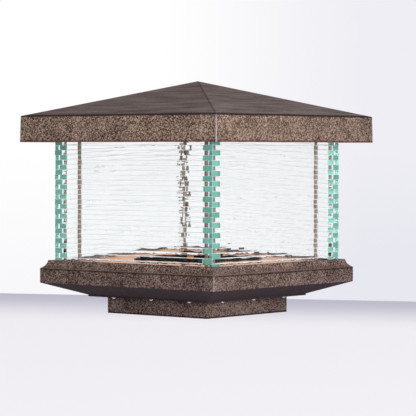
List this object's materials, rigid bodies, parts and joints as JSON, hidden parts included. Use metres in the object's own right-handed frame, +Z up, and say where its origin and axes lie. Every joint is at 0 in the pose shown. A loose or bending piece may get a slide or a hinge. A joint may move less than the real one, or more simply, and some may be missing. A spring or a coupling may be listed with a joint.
{
  "type": "deck lantern",
  "caption": "Square deck lantern: a tower of stacked glass strips between a moulded base with a lamp and a lift-off pyramid roof, on a foot that screws to a deck.",
  "frame": {"origin": "middle of the foot's underside, on the deck surface", "axes": "+Z up, towards the roof's peak; the front side faces -Y and the right side +X"},
  "size_m": [0.31, 0.31, 0.2855],
  "materials": {
    "speckled_coat": "granite-effect textured powder coat, matt",
    "glass_strip": "clear float glass, cut edges",
    "rod_enamel": "brown enamel, satin",
    "copper_sheet": "satin copper-tone sheet",
    "black_enamel": "black enamel, semi-matt",
    "stainless_screw": "bright stainless steel",
    "zinc_steel": "zinc-plated steel",
    "gasket_rubber": "closed-cell rubber",
    "lamp_ceramic": "glazed ceramic",
    "amber_envelope": "amber lamp envelope",
    "pin_metal": "nickel-plated pin",
    "lead_sleeve": "black silicone lead",
    "connector_plastic": "moulded orange plastic"
  },
  "bodies": {
    "lantern": {"base_pan": "speckled_coat", "bed_gasket": "gasket_rubber", "cable_bush": "gasket_rubber", "floor_plate": "copper_sheet", "floor_screws": "stainless_screw", "foot_collar": "speckled_coat", "foot_flange": "speckled_coat", "foot_nuts": "zinc_steel", "foot_screws": "stainless_screw", "glass_course_01": "glass_strip", "glass_course_02": "glass_strip", "glass_course_03": "glass_strip", "glass_course_04": "glass_strip", "glass_course_05": "glass_strip", "glass_course_06": "glass_strip", "glass_course_07": "glass_strip", "glass_course_08": "glass_strip", "glass_course_09": "glass_strip", "glass_course_10": "glass_strip", "glass_course_11": "glass_strip", "glass_course_12": "glass_strip", "glass_course_13": "glass_strip", "glass_course_14": "glass_strip", "glass_course_15": "glass_strip", "glass_course_16": "glass_strip", "glass_course_17": "glass_strip", "glass_course_18": "glass_strip", "glass_course_19": "glass_strip", "glass_course_20": "glass_strip", "glass_course_21": "glass_strip", "glass_course_22": "glass_strip", "glass_course_23": "glass_strip", "glass_course_24": "glass_strip", "glass_course_25": "glass_strip", "lamp_bracket": "black_enamel", "lamp_holder": "lamp_ceramic", "lamp_leads": "lead_sleeve", "lamp_screws": "stainless_screw", "lamp_tray": "black_enamel", "ledge_moulding_back": "speckled_coat", "ledge_moulding_front": "speckled_coat", "ledge_moulding_left": "speckled_coat", "ledge_moulding_right": "speckled_coat", "moulding_screws": "stainless_screw", "mounting_plate": "zinc_steel", "set_screws": "stainless_screw", "tie_rod_nuts": "zinc_steel", "tie_rod_washers": "zinc_steel", "tie_rods": "rod_enamel", "top_frame": "zinc_steel", "top_gasket": "gasket_rubber", "tray_grommet": "gasket_rubber", "wire_connectors": "connector_plastic"},
    "roof": {"roof_shell": "speckled_coat", "roof_bearers": "zinc_steel", "roof_lugs": "zinc_steel"},
    "lamp": {"lamp_capsule": "amber_envelope", "lamp_pins": "pin_metal"}
  },
  "joints": [
    {"name": "roof_lift", "type": "slide", "parent": "lantern", "child": "roof", "axis": [0, 0, 1], "range_m": [0, 0.12]},
    {"name": "lamp_pull", "type": "slide", "parent": "lantern", "child": "lamp", "axis": [0, 0, 1], "range_m": [0, 0.05]}
  ]
}
